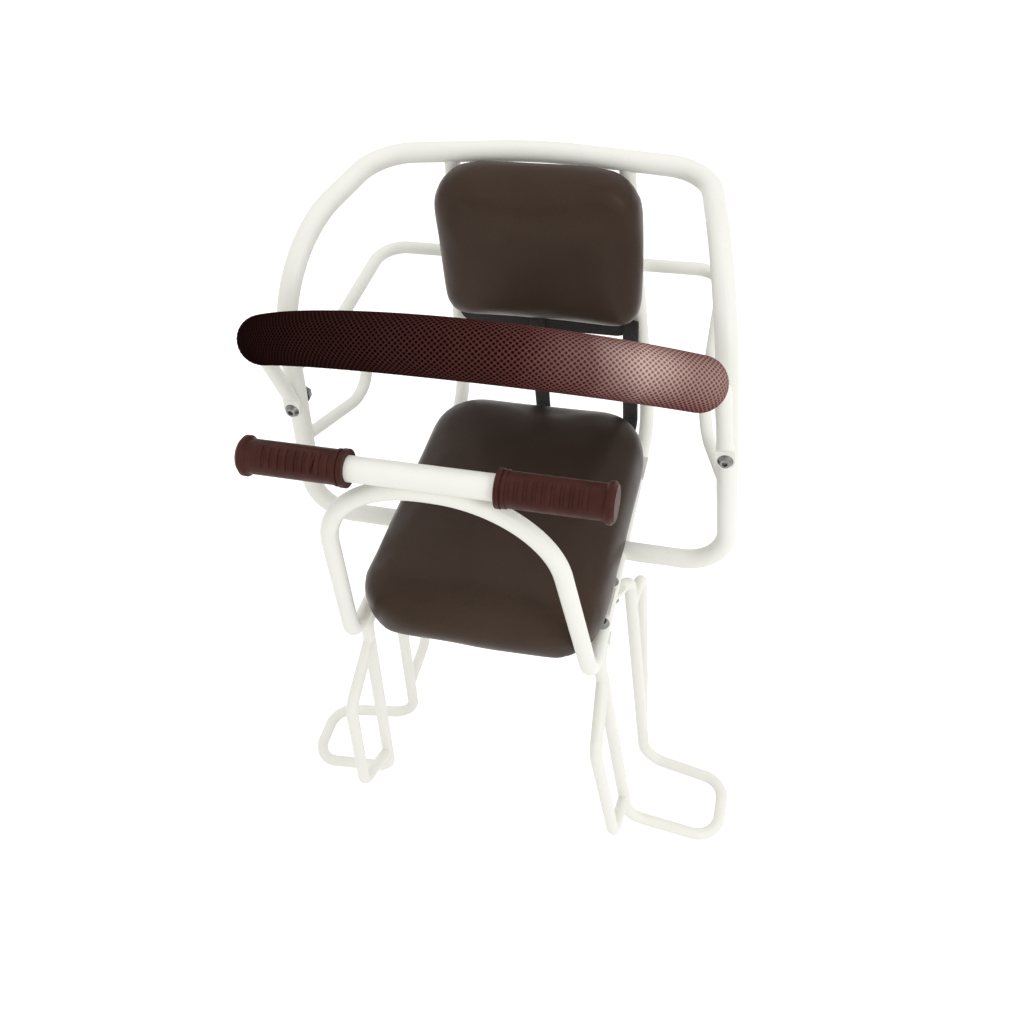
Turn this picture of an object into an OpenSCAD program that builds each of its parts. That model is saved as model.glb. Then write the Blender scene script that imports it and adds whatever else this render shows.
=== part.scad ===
// Rear child bike seat: a bent-tube frame with a padded bar, a front handlebar, hanging
// footrests and two cushions. +Z is up and -Y is the front, where the child's legs hang.
// The origin is the centre of the four rack holes, on the underside of the cross strips.

/* [Seat frame] */
// Diameter of the rails, uprights and front arch
frame_tube_d = 12; // [10:0.5:14]
// Wall of all bent tubes
tube_wall = 1.2; // [0.8:0.1:1.6]
// Half the spacing of the rails at the front
rail_half = 90; // [86:0.5:94]
// Half the spacing of the rails at the rear bend
rail_half_rear = 85.5; // [82:0.5:88]
// Length of the rails in front of the origin
rail_front = 112; // [106:1:116]
// Distance of the uprights behind the origin
upright_y = 138; // [132:1:146]
// Half the spacing of the uprights at their top
upright_top_half = 65.5; // [60:0.5:70]
// Bend radius between rail and upright
frame_bend = 30; // [24:1:40]

/* [Cross strips and rack holes] */
// Width of a cross strip
strip_w = 24; // [20:1:26]
// Thickness of a cross strip
strip_t = 3; // [2.5:0.5:4]
// Distance between the two cross strips
strip_spacing = 144; // [140:1:148]
// Distance between the rack holes across the seat
rack_hole_spacing = 100; // [80:1:110]
// Diameter of the rack holes
rack_hole_d = 6.6; // [5.5:0.1:8]

/* [Fence hoop] */
// Diameter of the fence tube
fence_tube_d = 15; // [13:0.5:17]
// Half width between the centrelines at the bottom corners
fence_half = 171; // [160:1:180]
// Half width at the top front corners
fence_top_half = 153; // [145:1:160]
// Half width at the top rear corners
fence_rear_half = 124.5; // [118:0.5:130]
// Distance of the hoop's bottom in front of the origin
fence_bottom_front = 14; // [10:0.5:22]
// Height of the top front corners
fence_top_z = 229; // [220:1:240]
// Height of the top rear corners
fence_rear_z = 235; // [228:1:244]
// Height of the middle of the top bar
fence_crown_z = 244; // [240:1:252]
// Bend radius at the bottom corners
fence_bottom_bend = 32; // [26:1:40]
// Bend radius at the top front corners
fence_top_bend = 84; // [60:1:86]
// Bend radius at the top rear corners
fence_rear_bend = 36; // [28:1:40]

/* [Guard rods] */
// Diameter of the guard rods and leg rods
rod_d = 10; // [8:0.5:11]
// Height at which the upper guard rod meets the post
guard_post_z = 135; // [130:1:140]
// Height of the upper guard rod behind the backrest
guard_rear_z = 147; // [142:1:154]
// Half width of the upper guard rod beside the backrest
guard_half = 140; // [134:0.5:146]
// Height at which the guard strut meets the post
strut_post_z = 70; // [64:1:76]
// Half width of the guard strut's lower bend
strut_half = 137.5; // [132:0.5:142]
// Height of the guard strut's lower bend
strut_low_z = 59; // [54:1:64]

/* [Front arch and handlebar] */
// Diameter of the handlebar
handlebar_d = 16; // [14:0.5:18]
// Half length of the handlebar tube
handlebar_half = 110; // [105:1:120]
// Height of the arch's top
arch_top_z = 179; // [170:1:190]
// Half width of the arch at its shoulders
arch_half = 71; // [68:0.5:78]
// Distance of the arch's top in front of the origin
arch_top_front = 151.5; // [146:0.5:154]
// How far the corner of an arch foot stands in front of the rail's end
arch_foot_reach = 23.5; // [23:0.5:27]
// Bend radius at the arch's shoulders, as a share of its half width
arch_roundness = 1.05; // [0.8:0.01:1.06]
// Bend radius at the arch's feet
arch_foot_bend = 21; // [14:1:21]
// How far the handlebar leans forward of the arch's top
handlebar_lean = 2; // [0:0.5:6]
// Length of a grip
grip_length = 68; // [62:1:76]
// Diameter of a grip's body
grip_d = 21.5; // [20:0.5:23]
// Diameter of a grip's end flange
grip_flange_d = 25; // [23:0.5:27]
// Number of short ribs along each side of a grip
grip_ribs = 9; // [4:1:12]

/* [Padded bar] */
// Diameter of the tube inside the padded bar
bar_tube_d = 11; // [9:0.5:12]
// Diameter of the padded bar
bar_pad_d = 35.5; // [32:0.5:42]
// Half length between the ends of the bar's arc
bar_half = 152; // [148:1:156]
// Half length between the round ends of the padding
bar_pad_half = 144.5; // [140:0.5:147]
// Distance of the bar's middle in front of the origin
bar_mid_front = 95; // [88:1:104]
// Height of the bar's middle
bar_mid_z = 241.5; // [236:0.5:248]
// Distance of the bar's ends in front of the origin
bar_end_front = 48; // [44:1:56]
// Height of the bar's ends
bar_end_z = 194.5; // [190:0.5:202]
// Height of the bolts that hold the bar to the posts
bar_bolt_z = 105; // [98:1:112]
// Thickness of the padding's woven sleeve
sleeve_t = 1.2; // [0.8:0.1:1.6]

/* [Legs and footrests] */
// Distance from a front leg bolt forward to the front leg
front_tab_reach = 20; // [19:0.5:24]
// Half width of the leg's bottom bend at the front
leg_low_half = 112; // [106:0.5:118]
// Depth of the front bottom bend below the origin
leg_low_depth = 246; // [230:1:260]
// Half width to the outer end of the footrest
footrest_half = 191; // [184:1:200]
// Depth of the footrest's outer end below the origin
footrest_depth = 259; // [249:1:267]
// Length of the footrest from front to rear
footrest_length = 57; // [50:1:60]
// Distance from a rear leg bolt back to the rear leg
rear_tab_reach = 18; // [17:0.5:22]
// Half width of the rear leg at its top
leg_rear_top_half = 99.5; // [97:0.5:102]
// Depth of the rear bottom bend below the origin
leg_rear_depth = 266; // [255:1:275]
// Bend radius of the footrest's corners
footrest_bend = 22; // [16:1:24]
// How far the front loop stands in front of the leg
front_loop_reach = 47; // [40:1:60]
// How far the rear loop stands behind the leg
rear_loop_reach = 34; // [24:1:40]

/* [Seat cushion] */
// Width of the seat cushion at its base
seat_w = 182; // [176:1:190]
// Length of the seat cushion at its base
seat_len = 243; // [236:1:247]
// Distance of the seat cushion's front edge in front of the origin
seat_front = 139; // [134:1:141]
// Thickness of the seat cushion
seat_t = 36; // [28:1:42]
// Corner radius of the seat cushion
seat_corner = 45; // [30:1:50]
// Thickness of the seat board and the back board
board_t = 4; // [3:0.5:6]

/* [Backrest] */
// Width of the backrest cushion at its base
back_w = 158; // [152:1:170]
// Height of the backrest cushion's lower edge
back_low_z = 116; // [112:1:122]
// Height of the backrest cushion's upper edge
back_top_z = 243; // [236:1:246]
// Thickness of the backrest cushion
back_t = 32; // [28:1:40]
// Width of the back board
back_board_w = 146; // [142:1:148]
// Height of the back board's lower edge
back_board_low_z = 92; // [84:1:94]
// How far the cushions sit off the middle of the frame
cushion_offset = 3; // [-4:0.5:4]
// Width of a webbing strap
strap_w = 13; // [10:1:16]
// Thickness of a webbing strap
strap_t = 2.5; // [1.5:0.5:3]

/* [Fasteners] */
// Thread diameter of the bolts
bolt_d = 6; // [5:0.5:6]
// Thread diameter of the board screws
screw_d = 5; // [4:0.5:5]

/* [Hidden] */
$fn = 48;

// Colours of the finishes
coat = [0.93, 0.92, 0.88];
dark = [0.22, 0.17, 0.15];
sleeve_colour = [0.32, 0.18, 0.17];
zinc = [0.55, 0.55, 0.53];

// Clearances: round a fastener in its hole, and round a tube in its grip or padding
hole_clear = 0.3;
slip_clear = 0.1;
pad_clear = 0.3;
pad_hem = 0.3;

// Each bend is drawn a hair thicker than the straights, which run a little way into it
seam = 0.05;
lap = 0.4;

// Radii of the tubes and rods, the branch rods a little thinner than the rods they are welded to
frame_r = frame_tube_d / 2;
fence_r = fence_tube_d / 2;
rod_r = rod_d / 2;
branch_r = rod_r * 0.95;
bar_r = bar_tube_d / 2;
bar_handle_r = handlebar_d / 2;
rail_z = -frame_r;

// Levels of the seat: strips on the rails, board on the strips, cushion on the board
board_z = strip_t;
cushion_z = board_z + board_t;
board_corner = 30;
board_inset_side = 8;
board_inset_end = 8;

// Sizes of the standard fasteners, as shares of their thread
head_r = bolt_d * 0.92;
head_h = bolt_d * 0.55;
washer_r = bolt_d * 1.05;
washer_t = 1.4;
nut_r = bolt_d * 0.96;
nut_h = bolt_d * 0.83;
bolt_spare = 2;
screw_head_r = screw_d * 0.9;
screw_head_h = screw_d * 0.5;
screw_bite = 3;

// Corner points of the bent tubes on the right-hand side, each a round size of its own
rail_end = [rail_half, -rail_front, rail_z];
rail_corner = [rail_half_rear, upright_y, rail_z];
fence_corner = [fence_half, -fence_bottom_front, rail_z];
fence_shoulder = [fence_top_half, 1, fence_top_z];
fence_rear = [fence_rear_half, upright_y, fence_rear_z];
fence_crown = [0, upright_y, fence_crown_z];
fence_crown_bend = 500;
fence_plug = 9;
fence_start = [lerp_y(rail_end, rail_corner, -fence_bottom_front).x + frame_r / 2,
    -fence_bottom_front, rail_z];
upright_top = lerp_x(fence_crown, fence_rear, upright_top_half);

guard_start = lerp_z(fence_corner, fence_shoulder, guard_post_z);
guard_bend = [guard_half + 3, 45, guard_rear_z - 5];
guard_rear_y = upright_y + frame_r + rod_r;
guard_corner = [guard_half, guard_rear_y, guard_rear_z];
guard_soft_bend = 60;
guard_corner_bend = 22;

strut_start = lerp_z(fence_corner, fence_shoulder, strut_post_z);
strut_corner = [strut_half, 71, strut_low_z];
strut_top_y = 64;
strut_top = lerp_y(guard_bend, guard_corner, strut_top_y);
strut_bend = 24;

arch_start = rail_end;
arch_foot = lerp_y(rail_end, rail_corner, -rail_front - arch_foot_reach);
arch_shoulder = [arch_half, -arch_top_front, arch_top_z];
arch_bend = arch_half * arch_roundness;
handlebar_y = -arch_top_front - handlebar_lean;
handlebar_z = arch_top_z + sqrt(pow(frame_r + bar_handle_r, 2) - pow(handlebar_lean, 2));

// Arc of the padded bar, in the plane through its middle and its two ends
bar_mid = [0, -bar_mid_front, bar_mid_z];
bar_end = [bar_half, -bar_end_front, bar_end_z];
bar_rise = norm([bar_mid.y - bar_end.y, bar_mid.z - bar_end.z]);
bar_up = [0, bar_mid.y - bar_end.y, bar_mid.z - bar_end.z] / bar_rise;
bar_arc_r = (pow(bar_half, 2) + pow(bar_rise, 2)) / (2 * bar_rise);
bar_arc_angle = asin(bar_half / bar_arc_r);
bar_pad_angle = asin(bar_pad_half / bar_arc_r);
bar_tangent = [cos(bar_arc_angle), 0, 0] - bar_up * sin(bar_arc_angle);
bar_tail = 9;
bar_tail_bend = 14;
tab_t = 4;
tab_w = 13;
tab_reach = 9;
tab_neck = 17;
bar_bolt_post = lerp_z(fence_corner, fence_shoulder, bar_bolt_z);
post_up = unit(fence_shoulder - fence_corner);
post_front = unit([0, -1, 0] + post_up * post_up.y);
bar_neck = bar_bolt_post + post_front * (fence_r + bar_r + seam) + post_up * tab_neck;

// Leg bolts through the rails, clear of the front cross strip on either side of it
bolt_gap = 2.5;
front_bolt_y = -(strip_spacing + strip_w) / 2 - head_r - bolt_gap;
rear_bolt_y = -(strip_spacing - strip_w) / 2 + head_r + bolt_gap;
front_bolt = [lerp_y(rail_end, rail_corner, front_bolt_y).x, front_bolt_y];
rear_bolt = [lerp_y(rail_end, rail_corner, rear_bolt_y).x, rear_bolt_y];
leg_front = front_tab_reach - front_bolt_y;
leg_rear = -rear_tab_reach - rear_bolt_y;
neck_gap = 9;

// Corner points of a leg rod, from its front tab round the footrest to its rear tab
leg_rod_z = -frame_tube_d - rod_r;
leg_knee = [rail_half + 1, -leg_front, leg_rod_z];
leg_low = [leg_low_half, -leg_front, -leg_low_depth];
foot_front = [footrest_half, -leg_front - 1, -footrest_depth];
foot_rear = [footrest_half, foot_front.y + footrest_length, -footrest_depth];
leg_rear_low = [leg_low_half + 3.5, -leg_rear - 5.5, -leg_rear_depth];
leg_rear_knee = [leg_rear_top_half, -leg_rear, leg_rod_z];
knee_bend = 8;
leg_bend = 20;

// Corner points of the narrow loops welded to the legs, at shares of the legs' depth
front_loop_top = lerp_z(leg_knee, leg_low, -leg_low_depth * 0.17);
front_loop_low = lerp_z(leg_knee, leg_low, -leg_low_depth * 0.875);
front_loop_upper = [front_loop_top.x + 3.5, -leg_front - front_loop_reach, -leg_low_depth * 0.285];
front_loop_lower = [front_loop_low.x, -leg_front - front_loop_reach, -leg_low_depth * 0.77];
rear_loop_top = lerp_z(leg_rear_knee, leg_rear_low, -leg_rear_depth * 0.17);
rear_loop_low = lerp_z(leg_rear_knee, leg_rear_low, -leg_rear_depth * 0.81);
rear_loop_upper = [rear_loop_top.x + 2, -leg_rear + rear_loop_reach, -leg_rear_depth * 0.19];
rear_loop_lower = [rear_loop_low.x - 6, -leg_rear + rear_loop_reach, -leg_rear_depth * 0.735];
front_loop_bend = 18;
rear_loop_bend = 14;

// Places of the back board, the backrest and the straps
back_board_y = upright_y - frame_r;
back_board_top_z = back_top_z - 14;
back_cushion_y = back_board_y - board_t;
back_corner = 34;
back_screw_zs = [back_board_low_z + 72, back_board_top_z - 14];
strap_middle_x = -6.5;
strap_right_x = 71;
strap_lap_z = back_board_low_z + 18;
strap_low_z = board_z - strap_t;
strap_lap_y = back_cushion_y - (strip_spacing + strip_w) / 2 - 1.5;
seat_rear = seat_len - seat_front;

// Points and directions along a line between two corner points
function lerp_x(a, b, x) = a + (b - a) * (x - a.x) / (b.x - a.x);
function lerp_y(a, b, y) = a + (b - a) * (y - a.y) / (b.y - a.y);
function lerp_z(a, b, z) = a + (b - a) * (z - a.z) / (b.z - a.z);
function unit(v) = v / norm(v);
function mirrored(p) = [-p.x, p.y, p.z];
function bend_angle(p, i) = acos(unit(p[i] - p[i - 1]) * unit(p[i + 1] - p[i]));
function setback(p, radii, i) = radii[i - 1] * tan(bend_angle(p, i) / 2);

// Places children with their axes along three directions and their origin at a point
module in_frame(ex, ey, ez, origin) {
    multmatrix([[ex.x, ey.x, ez.x, origin.x], [ex.y, ey.y, ez.y, origin.y],
        [ex.z, ey.z, ez.z, origin.z], [0, 0, 0, 1]]) children();
}

// Turns the Z axis along a line that starts at a point
module along(start, end) {
    v = end - start;
    translate(start) rotate([0, acos(v.z / norm(v)), atan2(v.y, v.x)]) children();
}

// Section of a tube, or of a solid rod where the inner radius is 0
module section(r, r_in) {
    difference() {
        circle(r);
        if (r_in > 0) circle(r_in);
    }
}

// Straight length of tube between two points
module straight(a, b, r, r_in = 0) {
    along(a, b) linear_extrude(norm(b - a)) section(r, r_in);
}

// Bore of a bend, a hair narrower than that of the straights
function bend_bore(r_in) = r_in > 0 ? r_in - seam : 0;

// Bend at corner i of a route
module elbow(p, radii, i, r, r_in) {
    d1 = unit(p[i] - p[i - 1]);
    d2 = unit(p[i + 1] - p[i]);
    inward = unit(d2 - d1 * (d1 * d2));
    bend = radii[i - 1];
    centre = p[i] - d1 * setback(p, radii, i) + inward * bend;
    in_frame(-inward, d1, cross(-inward, d1), centre)
        rotate_extrude(angle = bend_angle(p, i)) translate([bend, 0]) section(r, r_in);
}

// Tube bent along a route of corner points, with a bend radius for each inner corner
module bent(p, radii, r, r_in = 0) {
    for (i = [0 : len(p) - 2]) {
        d = unit(p[i + 1] - p[i]);
        back = i > 0 ? setback(p, radii, i) - lap : 0;
        ahead = i < len(p) - 2 ? setback(p, radii, i + 1) - lap : 0;
        straight(p[i] + d * back, p[i + 1] - d * ahead, r, r_in);
        if (i > 0) elbow(p, radii, i, r + seam, bend_bore(r_in));
    }
}

// Child shapes on the left-hand side
module left() {
    mirror([1, 0, 0]) children();
}

// Child shapes on both sides
module both() {
    children();
    left() children();
}

// Solid stretches of the tubes that others are coped to
module post_solid() {
    straight(fence_corner, fence_shoulder, fence_r);
}
module rail_solid() {
    straight(rail_end, rail_corner, frame_r);
}
module top_bar_solid() {
    straight(fence_crown, fence_rear, fence_r);
}
module guard_solid() {
    straight(guard_bend, guard_corner, rod_r);
}
module front_leg_solid() {
    straight(leg_knee, leg_low, rod_r);
}
module rear_leg_solid() {
    straight(leg_rear_knee, leg_rear_low, rod_r);
}

// Holes of the fasteners
module leg_bolt_holes(r) {
    for (p = [front_bolt, rear_bolt])
        translate([p.x, p.y, -frame_tube_d - tab_t - 1]) cylinder(h = frame_tube_d + tab_t + 2, r = r);
}
module bar_bolt_hole(r) {
    on_post(-tab_t - 1) cylinder(h = fence_tube_d + tab_t + 2, r = r);
}

// Places children on a post with +Z back through it, at a distance behind its front
module on_post(depth) {
    in_frame(post_up, cross(-post_front, post_up), -post_front,
        bar_bolt_post + post_front * (fence_r - depth)) children();
}
module back_screw_holes(r, start_y, depth) {
    for (z = back_screw_zs)
        translate([lerp_z(rail_corner, upright_top, z).x, start_y, z])
            rotate([-90, 0, 0]) cylinder(h = depth, r = r);
}

// Rail and upright bent from one tube, coped to the fence's top bar
module rail_upright() {
    color(coat) difference() {
        bent([rail_end, rail_corner, upright_top], [frame_bend], frame_r, frame_r - tube_wall);
        top_bar_solid();
        leg_bolt_holes(bolt_d / 2 + hole_clear);
        back_screw_holes(screw_d / 2 + hole_clear, upright_y - frame_tube_d, 2 * frame_tube_d);
    }
}
module rail_upright_right() {
    rail_upright();
}
module rail_upright_left() {
    left() rail_upright();
}

// Flat strip across the rails, with two rack holes and two screw holes
module cross_strip(y) {
    strip_half = rail_half + 4;
    color(coat) difference() {
        translate([-strip_half, y - strip_w / 2, 0]) cube([2 * strip_half, strip_w, strip_t]);
        for (side = [-1, 1]) {
            translate([side * rack_hole_spacing / 2, y, -1]) cylinder(h = strip_t + 2, d = rack_hole_d);
            translate([side * seat_screw_x(), y, -1])
                cylinder(h = strip_t + 2, r = screw_d / 2 + hole_clear);
        }
    }
}
function seat_screw_x() = rack_hole_spacing / 2 + 20;
module front_cross_strip() {
    cross_strip(-strip_spacing / 2);
}
module rear_cross_strip() {
    cross_strip(strip_spacing / 2);
}

// Fence hoop bent from one tube, plugged and coped to the rails, a bolt hole through each post
module fence_hoop() {
    half_route = [fence_start, fence_corner, fence_shoulder, fence_rear];
    route = concat(half_route, [fence_crown], [for (i = [3 : -1 : 0]) mirrored(half_route[i])]);
    radii = [fence_bottom_bend, fence_top_bend, fence_rear_bend, fence_crown_bend,
        fence_rear_bend, fence_top_bend, fence_bottom_bend];
    color(coat) difference() {
        union() {
            bent(route, radii, fence_r, fence_r - tube_wall);
            both() straight(fence_start, fence_start + [fence_plug, 0, 0], fence_r - tube_wall / 2);
        }
        both() rail_solid();
        both() bar_bolt_hole(bolt_d / 2 + hole_clear);
    }
}

// Guard rod round the back of the uprights, coped to both posts
module upper_guard_rod() {
    half_route = [guard_start, guard_bend, guard_corner];
    route = concat(half_route, [for (i = [2 : -1 : 0]) mirrored(half_route[i])]);
    radii = [guard_soft_bend, guard_corner_bend, guard_corner_bend, guard_soft_bend];
    color(coat) difference() {
        bent(route, radii, rod_r);
        both() post_solid();
    }
}

// Strut from the post back and up to the guard rod
module guard_strut() {
    color(coat) difference() {
        bent([strut_start, strut_corner, strut_top], [strut_bend], branch_r);
        post_solid();
        guard_solid();
    }
}
module guard_strut_right() {
    guard_strut();
}
module guard_strut_left() {
    left() guard_strut();
}

// Arch that carries the handlebar, with its feet turned back to the rails
module front_arch() {
    route = [arch_start, arch_foot, arch_shoulder, mirrored(arch_shoulder),
        mirrored(arch_foot), mirrored(arch_start)];
    color(coat) bent(route, [arch_foot_bend, arch_bend, arch_bend, arch_foot_bend],
        frame_r, frame_r - tube_wall);
}

// Handlebar tube, welded on top of the arch
module handlebar_tube() {
    color(coat) straight([-handlebar_half, handlebar_y, handlebar_z],
        [handlebar_half, handlebar_y, handlebar_z], bar_handle_r, bar_handle_r - tube_wall);
}

// Rubber grip with a ringed collar, two bands of short ribs and a closed end with a flange
module grip() {
    wall_end = 3.5;
    collar_w = 3;
    groove = 1.2;
    flange_w = 6;
    body_r = grip_d / 2;
    flange_r = grip_flange_d / 2;
    rib_start = collar_w + 6;
    rib_pitch = (grip_length - rib_start - 2 * flange_w) / grip_ribs;
    color(sleeve_colour) translate([handlebar_half + wall_end - grip_length, handlebar_y, handlebar_z])
        rotate([0, 90, 0]) difference() {
            union() {
                rotate_extrude() {
                    square([body_r, grip_length - flange_w]);
                    square([body_r + 1, collar_w]);
                    translate([0, collar_w + groove]) square([body_r + 0.6, 2]);
                    translate([0, grip_length - flange_w]) polygon([[0, 0], [body_r, 0], [flange_r, 1.5],
                        [flange_r, flange_w - 2], [flange_r - 2, flange_w], [0, flange_w]]);
                }
                for (i = [0 : grip_ribs - 1]) translate([0, 0, rib_start + i * rib_pitch])
                    rib_pair(body_r, rib_pitch / 2);
            }
            translate([0, 0, -1]) cylinder(h = grip_length - wall_end + 1, r = bar_handle_r + slip_clear);
        }
}

// Two opposite ribs, each over part of the grip's round, one towards the front and the top
module rib_pair(r, w) {
    rib_turn = 222;
    rib_sweep = 72;
    rib_t = 0.6;
    for (turn = [rib_turn, rib_turn - 180]) rotate(turn - rib_sweep / 2)
        rotate_extrude(angle = rib_sweep) translate([r - 1, 0]) square([1 + rib_t, w]);
}
module grip_right() {
    grip();
}
module grip_left() {
    left() grip();
}

// Arc of the padded bar out to a given angle on both sides of its middle
module bar_arc(angle, r, r_in = 0) {
    ex = [sin(angle), 0, 0] + bar_up * cos(angle);
    ey = [-cos(angle), 0, 0] + bar_up * sin(angle);
    in_frame(ex, ey, cross(ex, ey), bar_mid - bar_up * bar_arc_r)
        rotate_extrude(angle = 2 * angle) translate([bar_arc_r, 0]) section(r, r_in);
}

// Centre of the padding's round end
function bar_pad_end() =
    bar_mid - bar_up * bar_arc_r * (1 - cos(bar_pad_angle)) + [bar_pad_half, 0, 0];

// Route of the bar's tube from the end of the arc down to its flattened tab
function bar_tail_route() = [bar_end - bar_tangent * lap, bar_end + bar_tangent * bar_tail, bar_neck];

// Solid form of the bar's tube, used for the tube and for the bore in its padding
module bar_rod(r, r_in = 0) {
    bar_arc(bar_arc_angle, r + seam, bend_bore(r_in));
    both() bent(bar_tail_route(), [bar_tail_bend], r, r_in);
}

// Flat plate of a tab, from its round end at the origin along +X
module tab_plate(reach) {
    linear_extrude(tab_t) {
        circle(d = tab_w);
        translate([0, -tab_w / 2]) square([reach, tab_w]);
    }
}

// Tube inside the padded bar, flattened at each end and drilled for a bolt
module bar_inner_tube() {
    tail = unit(bar_neck - bar_tail_route()[1]);
    color(coat) difference() {
        union() {
            bar_rod(bar_r, bar_r - tube_wall);
            both() hull() {
                along(bar_neck - tail * lap, bar_neck)
                    cylinder(h = 2 * lap, r = bar_r - tube_wall / 4, $fn = 24);
                on_post(lap - tab_t) translate([tab_reach - 1, lap - tab_w / 2, 0])
                    cube([1, tab_w - 2 * lap, tab_t - 2 * lap]);
            }
            both() on_post(-tab_t) tab_plate(tab_reach);
        }
        both() bar_bolt_hole(bolt_d / 2 + hole_clear);
    }
}

// Body of the padding with round ends, set in a little at their hems
module bar_pad_body(r) {
    bar_arc(bar_pad_angle, r);
    both() translate(bar_pad_end()) sphere(r - pad_hem);
}

// Foam tube over the bar
module bar_foam() {
    color([0.12, 0.12, 0.12]) difference() {
        bar_pad_body(bar_pad_d / 2 - sleeve_t - pad_clear);
        bar_rod(bar_r + pad_clear);
    }
}

// Woven sleeve over the foam, closed round the tube at its ends
module bar_sleeve() {
    color(sleeve_colour) difference() {
        bar_pad_body(bar_pad_d / 2);
        bar_pad_body(bar_pad_d / 2 - sleeve_t);
        bar_rod(bar_r + pad_clear);
    }
}

// Flattened end of a leg rod, lying under the rail from the knee towards the bolt
module leg_tab(knee, bolt) {
    aim = unit([bolt.x - knee.x, bolt.y - knee.y, 0]);
    reach = norm([bolt.x - knee.x, bolt.y - knee.y]);
    in_frame(aim, cross([0, 0, 1], aim), [0, 0, 1], knee) {
        hull() {
            translate([neck_gap - lap, 0, 0]) rotate([0, 90, 0])
                cylinder(h = 2 * lap, r = rod_r - 2 * seam, $fn = 24);
            translate([neck_gap + 3, lap - tab_w / 2, rod_r - tab_t + lap])
                cube([1, tab_w - 2 * lap, tab_t - 2 * lap]);
        }
        translate([reach, 0, rod_r - tab_t]) mirror([1, 0, 0]) tab_plate(reach - neck_gap - 3);
    }
}

// End of the round part of a leg rod, where its tab begins
function neck(knee, bolt) = knee + unit([bolt.x - knee.x, bolt.y - knee.y, 0]) * neck_gap;

// Leg rod bent from one bar: front leg, footrest and rear leg
module leg_rod() {
    route = [neck(leg_knee, front_bolt), leg_knee, leg_low, foot_front, foot_rear, leg_rear_low,
        leg_rear_knee, neck(leg_rear_knee, rear_bolt)];
    radii = [knee_bend, leg_bend, footrest_bend, footrest_bend, leg_bend, knee_bend];
    color(coat) difference() {
        union() {
            bent(route, radii, rod_r);
            leg_tab(leg_knee, front_bolt);
            leg_tab(leg_rear_knee, rear_bolt);
        }
        leg_bolt_holes(bolt_d / 2 + hole_clear);
    }
}
module leg_rod_right() {
    leg_rod();
}
module leg_rod_left() {
    left() leg_rod();
}

// Narrow loop in front of the front leg
module front_loop() {
    color(coat) difference() {
        bent([front_loop_top, front_loop_upper, front_loop_lower, front_loop_low],
            [front_loop_bend, front_loop_bend], branch_r);
        front_leg_solid();
    }
}
module front_loop_right() {
    front_loop();
}
module front_loop_left() {
    left() front_loop();
}

// Narrow loop behind the rear leg
module rear_loop() {
    color(coat) difference() {
        bent([rear_loop_top, rear_loop_upper, rear_loop_lower, rear_loop_low],
            [rear_loop_bend, rear_loop_bend], branch_r);
        rear_leg_solid();
    }
}
module rear_loop_right() {
    rear_loop();
}
module rear_loop_left() {
    left() rear_loop();
}

// Rectangle with round corners
module rounded(w, l, r) {
    translate([-w / 2, r]) square([w, l - 2 * r]);
    translate([-w / 2 + r, 0]) square([w - 2 * r, l]);
    for (x = [-w / 2 + r, w / 2 - r], y = [r, l - r]) translate([x, y]) circle(r);
}

// Seat board on the cross strips, with room round the rack bolts and holes for its screws
module seat_board() {
    rack_room = 8;
    color([0.35, 0.27, 0.2]) difference() {
        translate([0, -seat_front + board_inset_end, board_z]) linear_extrude(board_t)
            rounded(seat_w - 2 * board_inset_side, seat_len - 2 * board_inset_end, board_corner);
        for (side = [-1, 1], y = [-strip_spacing / 2, strip_spacing / 2]) {
            translate([side * rack_hole_spacing / 2, y, board_z - 1])
                cylinder(h = board_t + 2, r = rack_room);
            translate([side * seat_screw_x(), y, board_z - 1])
                cylinder(h = screw_bite + 1, r = screw_d / 2 + slip_clear);
        }
    }
}

// Cushion with a wide base, rounded shoulders and a softly crowned top
module cushion(w, l, t, r) {
    base_t = t * 0.28;
    shoulder = t * 0.42;
    waist = 2;
    hull() {
        for (x = [-w / 2 + r, w / 2 - r], y = [r, l - r]) {
            translate([x, y, 0]) cylinder(h = 1, r = r - waist, $fn = 32);
            translate([x, y, base_t * 0.6]) cylinder(h = base_t, r = r, $fn = 32);
            translate([x, y, t - shoulder - 2]) rotate_extrude($fn = 32)
                translate([r - shoulder - 1, 0]) circle(shoulder, $fn = 32);
        }
        translate([-w / 4, l * 0.3, t - 1]) cube([w / 2, l * 0.4, 1]);
    }
}

// Seat cushion, upholstered over its board
module seat_cushion() {
    color(dark) translate([cushion_offset, -seat_front, cushion_z])
        cushion(seat_w, seat_len, seat_t, seat_corner);
}

// Back board screwed to the front of the uprights
module back_board() {
    color([0.16, 0.13, 0.12]) difference() {
        translate([0, back_board_y, back_board_low_z]) rotate([90, 0, 0]) linear_extrude(board_t)
            rounded(back_board_w, back_board_top_z - back_board_low_z, board_corner / 2);
        both() back_screw_holes(screw_d / 2 + slip_clear, back_board_y - screw_bite, screw_bite + 1);
    }
}

// Backrest cushion in front of its board
module back_cushion() {
    color(dark) translate([cushion_offset, back_cushion_y, back_low_z]) rotate([90, 0, 0])
        cushion(back_w, back_top_z - back_low_z, back_t, back_corner);
}

// Webbing strap from the back board down behind the seat and under the seat board
module strap(x) {
    color([0.1, 0.09, 0.09]) translate([x - strap_w / 2, back_cushion_y - strap_t, strap_low_z]) {
        cube([strap_w, strap_t, strap_lap_z - strap_low_z]);
        translate([0, strap_t - strap_lap_y, 0]) cube([strap_w, strap_lap_y, strap_t]);
    }
}
module strap_middle() {
    strap(strap_middle_x);
}
module strap_right() {
    strap(strap_right_x);
}

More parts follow.
